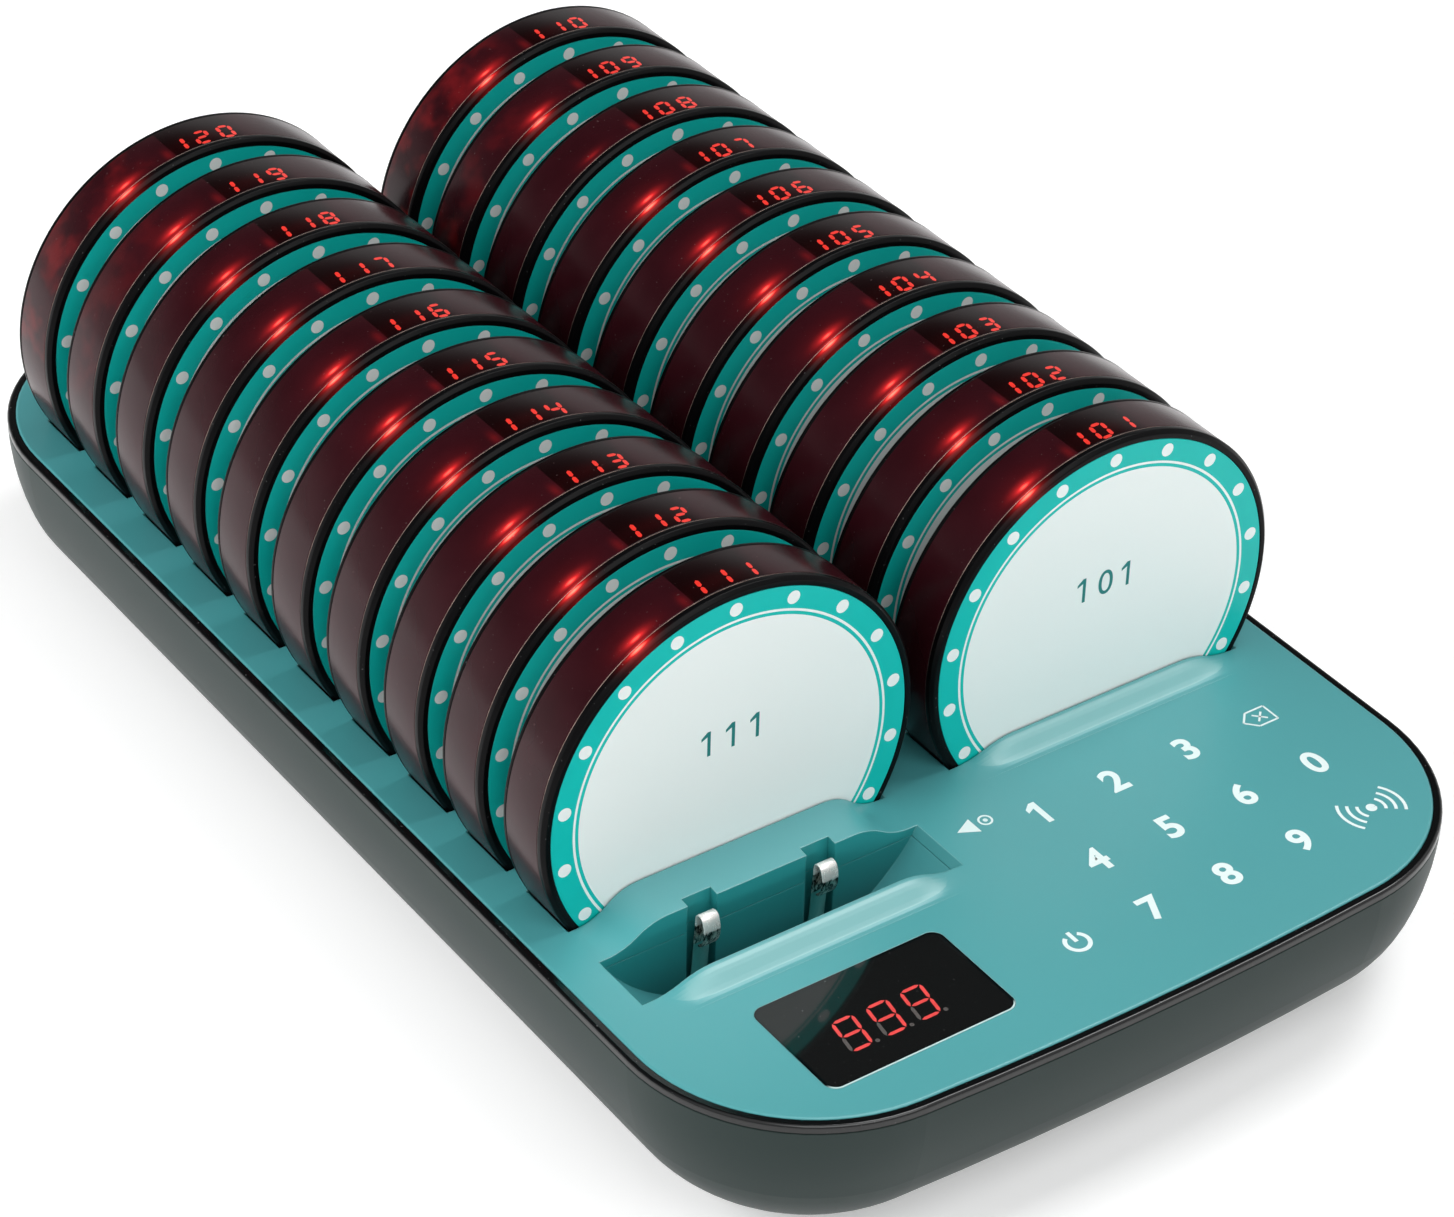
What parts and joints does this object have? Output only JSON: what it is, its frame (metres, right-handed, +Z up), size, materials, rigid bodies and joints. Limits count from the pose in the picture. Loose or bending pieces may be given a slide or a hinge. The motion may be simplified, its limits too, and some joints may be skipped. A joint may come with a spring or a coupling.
{
  "type": "guest pager system",
  "caption": "Table-top charging base with a figure display and a touch keypad at the front, holding two rows of upright round guest pagers in slots, with one open setting slot.",
  "frame": {"origin": "on the table under the middle of the base", "axes": "+Z up, -Y towards the keypad end, +X to the right seen from the keypad end"},
  "size_m": [0.206, 0.352, 0.1155],
  "materials": {
    "shell_plastic": "fine satin texture",
    "trim_plastic": "polished",
    "cover_plastic": "smooth satin",
    "zinc_screw": "zinc plated",
    "foot_rubber": "moulded",
    "circuit_laminate": "solder resist",
    "dark_plastic": "moulded",
    "smoked_window": "polished",
    "pale_plastic": "moulded",
    "shield_can": "tinned",
    "spring_metal": "nickel plated",
    "pin_brass": "turned",
    "lead_cover": "flexible insulation",
    "pager_shell": "polished",
    "smoked_rim": "smoked, polished",
    "label_film": "printed film",
    "cell_foil": "foil pouch",
    "lamp_resin": "clear resin",
    "pad_metal": "nickel plated"
  },
  "bodies": {
    "base": {"bottom_shell": "shell_plastic", "trim_ring": "trim_plastic", "top_cover": "cover_plastic", "setting_well": "cover_plastic", "slot_wells": "cover_plastic", "cover_screws": "zinc_screw", "board_screws": "zinc_screw", "rubber_feet": "foot_rubber", "charge_board_left": "circuit_laminate", "charge_board_right": "circuit_laminate", "main_board": "circuit_laminate", "inlet_board": "circuit_laminate", "display_module": "dark_plastic", "display_window": "smoked_window", "touch_sensor": "circuit_laminate", "keypad_connector": "pale_plastic", "radio_module": "shield_can", "antenna": "spring_metal", "base_sounder": "dark_plastic", "charge_contacts": "spring_metal", "contact_holders": "pale_plastic", "dc_jack": "dark_plastic", "dc_jack_pin": "pin_brass", "power_switch_frame": "dark_plastic", "power_lead": "lead_cover", "charge_leads": "lead_cover"},
    "set_contact_left": {"set_contact_left": "spring_metal"},
    "set_contact_right": {"set_contact_right": "spring_metal"},
    "power_rocker": {"power_switch_rocker": "dark_plastic"},
    "pager_101": {"pager_101_front_shell": "pager_shell", "pager_101_rear_shell": "pager_shell", "pager_101_rim_lens": "smoked_rim", "pager_101_label": "label_film", "pager_101_circuit_board": "circuit_laminate", "pager_101_battery": "cell_foil", "pager_101_vibration_motor": "shield_can", "pager_101_sounder": "dark_plastic", "pager_101_lamps": "lamp_resin", "pager_101_number_display": "dark_plastic", "pager_101_charge_pads": "pad_metal", "pager_101_screws": "zinc_screw"},
    "pager_102": {"pager_102": "pager_shell"},
    "pager_103": {"pager_103": "pager_shell"},
    "pager_104": {"pager_104": "pager_shell"},
    "pager_105": {"pager_105": "pager_shell"},
    "pager_106": {"pager_106": "pager_shell"},
    "pager_107": {"pager_107": "pager_shell"},
    "pager_108": {"pager_108": "pager_shell"},
    "pager_109": {"pager_109": "pager_shell"},
    "pager_110": {"pager_110": "pager_shell"},
    "pager_111": {"pager_111": "pager_shell"},
    "pager_112": {"pager_112": "pager_shell"},
    "pager_113": {"pager_113": "pager_shell"},
    "pager_114": {"pager_114": "pager_shell"},
    "pager_115": {"pager_115": "pager_shell"},
    "pager_116": {"pager_116": "pager_shell"},
    "pager_117": {"pager_117": "pager_shell"},
    "pager_118": {"pager_118": "pager_shell"},
    "pager_119": {"pager_119": "pager_shell"},
    "pager_120": {"pager_120": "pager_shell"}
  },
  "joints": [
    {"name": "pager_101_lift", "type": "slide", "parent": "base", "child": "pager_101", "axis": [0, 0, 1], "range_m": [0, 0.06]},
    {"name": "pager_102_lift", "type": "slide", "parent": "base", "child": "pager_102", "axis": [0, 0, 1], "range_m": [0, 0.06]},
    {"name": "pager_103_lift", "type": "slide", "parent": "base", "child": "pager_103", "axis": [0, 0, 1], "range_m": [0, 0.06]},
    {"name": "pager_104_lift", "type": "slide", "parent": "base", "child": "pager_104", "axis": [0, 0, 1], "range_m": [0, 0.06]},
    {"name": "pager_105_lift", "type": "slide", "parent": "base", "child": "pager_105", "axis": [0, 0, 1], "range_m": [0, 0.06]},
    {"name": "pager_106_lift", "type": "slide", "parent": "base", "child": "pager_106", "axis": [0, 0, 1], "range_m": [0, 0.06]},
    {"name": "pager_107_lift", "type": "slide", "parent": "base", "child": "pager_107", "axis": [0, 0, 1], "range_m": [0, 0.06]},
    {"name": "pager_108_lift", "type": "slide", "parent": "base", "child": "pager_108", "axis": [0, 0, 1], "range_m": [0, 0.06]},
    {"name": "pager_109_lift", "type": "slide", "parent": "base", "child": "pager_109", "axis": [0, 0, 1], "range_m": [0, 0.06]},
    {"name": "pager_110_lift", "type": "slide", "parent": "base", "child": "pager_110", "axis": [0, 0, 1], "range_m": [0, 0.06]},
    {"name": "pager_111_lift", "type": "slide", "parent": "base", "child": "pager_111", "axis": [0, 0, 1], "range_m": [0, 0.06]},
    {"name": "pager_112_lift", "type": "slide", "parent": "base", "child": "pager_112", "axis": [0, 0, 1], "range_m": [0, 0.06]},
    {"name": "pager_113_lift", "type": "slide", "parent": "base", "child": "pager_113", "axis": [0, 0, 1], "range_m": [0, 0.06]},
    {"name": "pager_114_lift", "type": "slide", "parent": "base", "child": "pager_114", "axis": [0, 0, 1], "range_m": [0, 0.06]},
    {"name": "pager_115_lift", "type": "slide", "parent": "base", "child": "pager_115", "axis": [0, 0, 1], "range_m": [0, 0.06]},
    {"name": "pager_116_lift", "type": "slide", "parent": "base", "child": "pager_116", "axis": [0, 0, 1], "range_m": [0, 0.06]},
    {"name": "pager_117_lift", "type": "slide", "parent": "base", "child": "pager_117", "axis": [0, 0, 1], "range_m": [0, 0.06]},
    {"name": "pager_118_lift", "type": "slide", "parent": "base", "child": "pager_118", "axis": [0, 0, 1], "range_m": [0, 0.06]},
    {"name": "pager_119_lift", "type": "slide", "parent": "base", "child": "pager_119", "axis": [0, 0, 1], "range_m": [0, 0.06]},
    {"name": "pager_120_lift", "type": "slide", "parent": "base", "child": "pager_120", "axis": [0, 0, 1], "range_m": [0, 0.06]},
    {"name": "set_contact_left_flex", "type": "hinge", "parent": "base", "child": "set_contact_left", "pos_m": [-0.0653, -0.0995, 0.0161], "axis": [-1, 0, 0], "range_deg": [0, 5], "stiffness_Nm_per_rad": 0.15},
    {"name": "set_contact_right_flex", "type": "hinge", "parent": "base", "child": "set_contact_right", "pos_m": [-0.0347, -0.0995, 0.0161], "axis": [-1, 0, 0], "range_deg": [0, 5], "stiffness_Nm_per_rad": 0.15},
    {"name": "power_rocker_press", "type": "hinge", "parent": "base", "child": "power_rocker", "pos_m": [0.012, 0.1685, 0.027], "axis": [0, 0, -1], "range_deg": [0, 16]}
  ]
}
